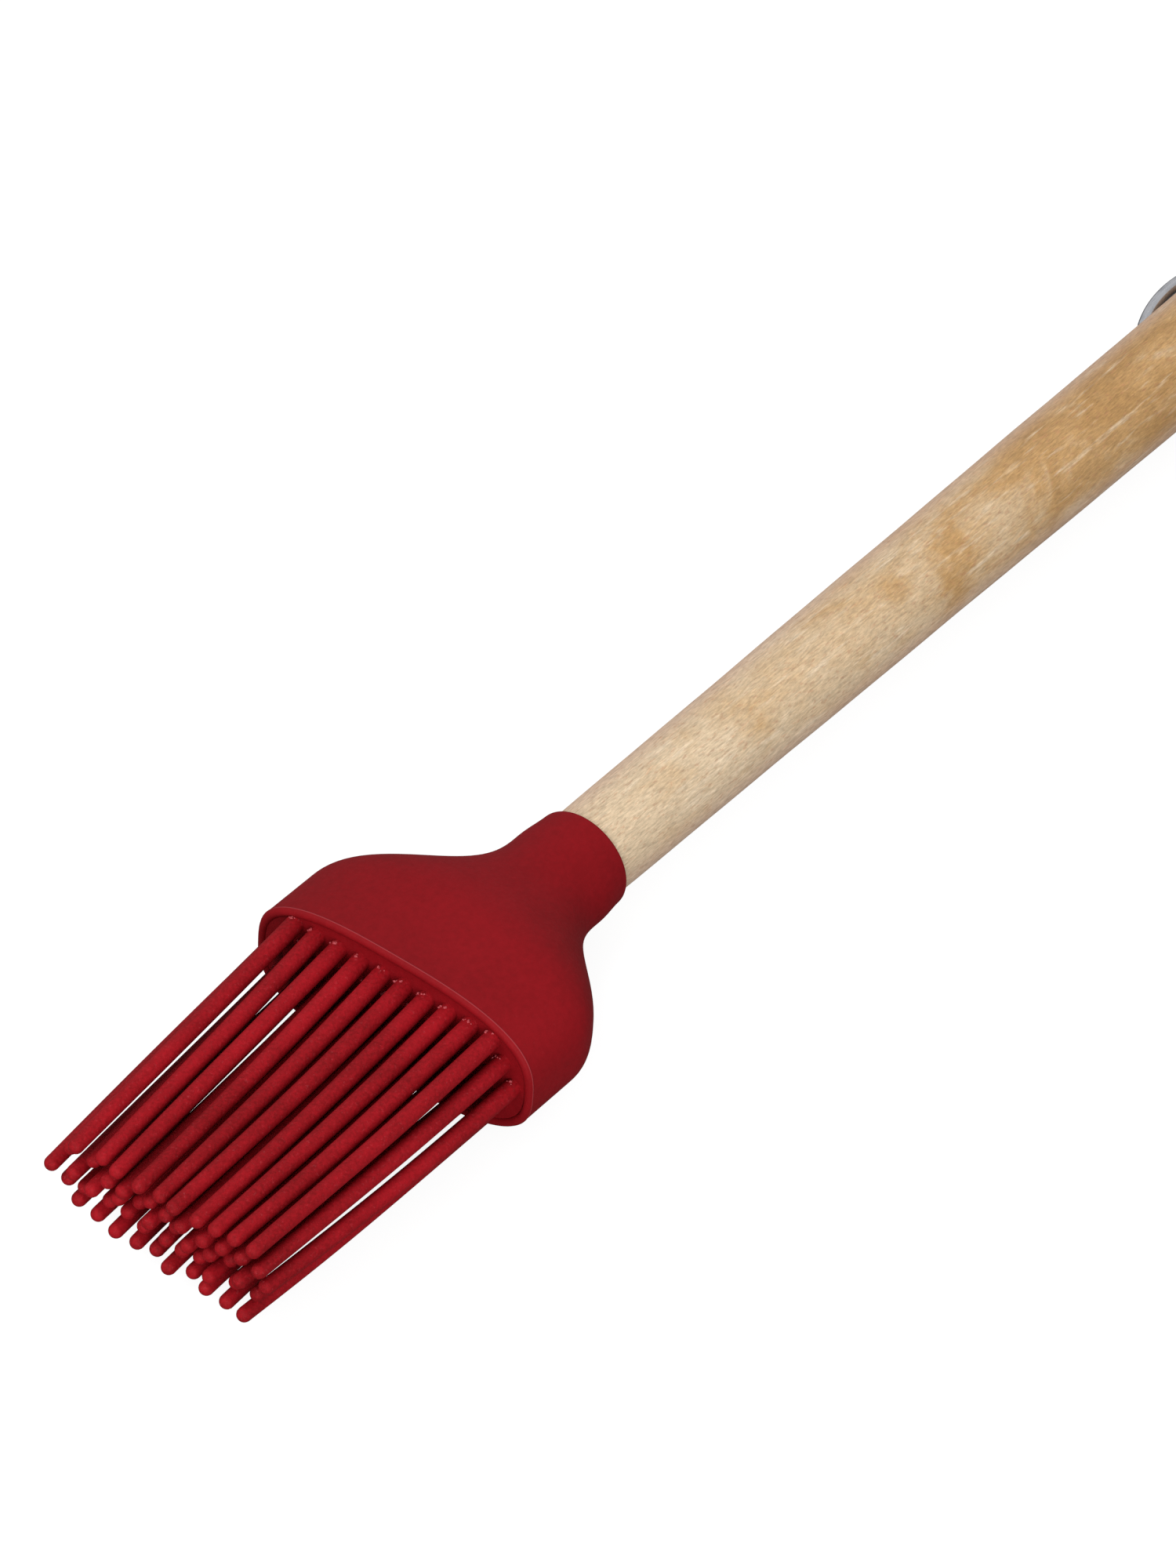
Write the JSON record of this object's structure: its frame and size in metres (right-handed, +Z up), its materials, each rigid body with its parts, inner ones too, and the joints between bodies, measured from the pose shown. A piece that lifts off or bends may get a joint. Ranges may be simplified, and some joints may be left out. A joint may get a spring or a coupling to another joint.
{
  "type": "pastry brush",
  "caption": "Pastry brush: wide silicone head on a nylon core, rows of thick round silicone bristles, turned birch handle and a swinging steel hanging ring.",
  "frame": {"origin": "middle of the brush's box in length and width, on the surface that it lies on", "axes": "+X from the bristle tips to the butt of the handle, +Y across the head, +Z up out of the head's broad face"},
  "size_m": [0.262, 0.0438, 0.0205],
  "materials": {
    "birch": "turned and sanded birch, thin clear oil, open fine grain",
    "steel": "bright plated steel wire",
    "head_silicone": "moulded silicone, deep red, satin",
    "bristle_silicone": "moulded silicone, deep red, matt with fine dust",
    "nylon": "injection-moulded nylon, natural"
  },
  "bodies": {
    "brush": {"handle": "birch", "head_sleeve": "head_silicone", "head_core": "nylon", "bristle_pad": "head_silicone"},
    "bristle_row_1": {"bristle_1_01": "bristle_silicone", "bristle_1_02": "bristle_silicone", "bristle_1_03": "bristle_silicone", "bristle_1_04": "bristle_silicone", "bristle_1_05": "bristle_silicone", "bristle_1_06": "bristle_silicone", "bristle_1_07": "bristle_silicone", "bristle_1_08": "bristle_silicone", "bristle_1_09": "bristle_silicone", "bristle_1_10": "bristle_silicone"},
    "bristle_row_2": {"bristle_2_01": "bristle_silicone", "bristle_2_02": "bristle_silicone", "bristle_2_03": "bristle_silicone", "bristle_2_04": "bristle_silicone", "bristle_2_05": "bristle_silicone", "bristle_2_06": "bristle_silicone", "bristle_2_07": "bristle_silicone", "bristle_2_08": "bristle_silicone", "bristle_2_09": "bristle_silicone", "bristle_2_10": "bristle_silicone", "bristle_2_11": "bristle_silicone"},
    "bristle_row_3": {"bristle_3_01": "bristle_silicone", "bristle_3_02": "bristle_silicone", "bristle_3_03": "bristle_silicone", "bristle_3_04": "bristle_silicone", "bristle_3_05": "bristle_silicone", "bristle_3_06": "bristle_silicone", "bristle_3_07": "bristle_silicone", "bristle_3_08": "bristle_silicone", "bristle_3_09": "bristle_silicone", "bristle_3_10": "bristle_silicone", "bristle_3_11": "bristle_silicone", "bristle_3_12": "bristle_silicone"},
    "bristle_row_4": {"bristle_4_01": "bristle_silicone", "bristle_4_02": "bristle_silicone", "bristle_4_03": "bristle_silicone", "bristle_4_04": "bristle_silicone", "bristle_4_05": "bristle_silicone", "bristle_4_06": "bristle_silicone", "bristle_4_07": "bristle_silicone", "bristle_4_08": "bristle_silicone", "bristle_4_09": "bristle_silicone", "bristle_4_10": "bristle_silicone", "bristle_4_11": "bristle_silicone"},
    "bristle_row_5": {"bristle_5_01": "bristle_silicone", "bristle_5_02": "bristle_silicone", "bristle_5_03": "bristle_silicone", "bristle_5_04": "bristle_silicone", "bristle_5_05": "bristle_silicone", "bristle_5_06": "bristle_silicone", "bristle_5_07": "bristle_silicone", "bristle_5_08": "bristle_silicone", "bristle_5_09": "bristle_silicone", "bristle_5_10": "bristle_silicone"},
    "ring": {"hang_ring": "steel"}
  },
  "joints": [
    {"name": "bristle_flex_1", "type": "hinge", "parent": "brush", "child": "bristle_row_1", "pos_m": [-0.08375, 0, 0.01645], "axis": [0, 1, 0], "range_deg": [-30, 30], "stiffness_Nm_per_rad": 0.02, "springref_deg": 1.15},
    {"name": "bristle_flex_2", "type": "hinge", "parent": "brush", "child": "bristle_row_2", "pos_m": [-0.08375, 0, 0.01335], "axis": [0, 1, 0], "range_deg": [-30, 30], "stiffness_Nm_per_rad": 0.02, "springref_deg": 1.15},
    {"name": "bristle_flex_3", "type": "hinge", "parent": "brush", "child": "bristle_row_3", "pos_m": [-0.08375, 0, 0.01025], "axis": [0, 1, 0], "range_deg": [-30, 30], "stiffness_Nm_per_rad": 0.02, "springref_deg": 1.15},
    {"name": "bristle_flex_4", "type": "hinge", "parent": "brush", "child": "bristle_row_4", "pos_m": [-0.08375, 0, 0.00715], "axis": [0, 1, 0], "range_deg": [-30, 30], "stiffness_Nm_per_rad": 0.02, "springref_deg": 1.15},
    {"name": "bristle_flex_5", "type": "hinge", "parent": "brush", "child": "bristle_row_5", "pos_m": [-0.08375, 0, 0.00405], "axis": [0, 1, 0], "range_deg": [-30, 30], "stiffness_Nm_per_rad": 0.02, "springref_deg": 1.15},
    {"name": "ring_swing", "type": "hinge", "parent": "brush", "child": "ring", "pos_m": [0.1165, 0, 0.01025], "axis": [0, -1, 0], "range_deg": [0, 312]}
  ],
  "couplings": [
    {"joint": "bristle_flex_1", "follows": "bristle_flex_3", "ratio": 1},
    {"joint": "bristle_flex_2", "follows": "bristle_flex_3", "ratio": 1},
    {"joint": "bristle_flex_4", "follows": "bristle_flex_3", "ratio": 1},
    {"joint": "bristle_flex_5", "follows": "bristle_flex_3", "ratio": 1}
  ]
}
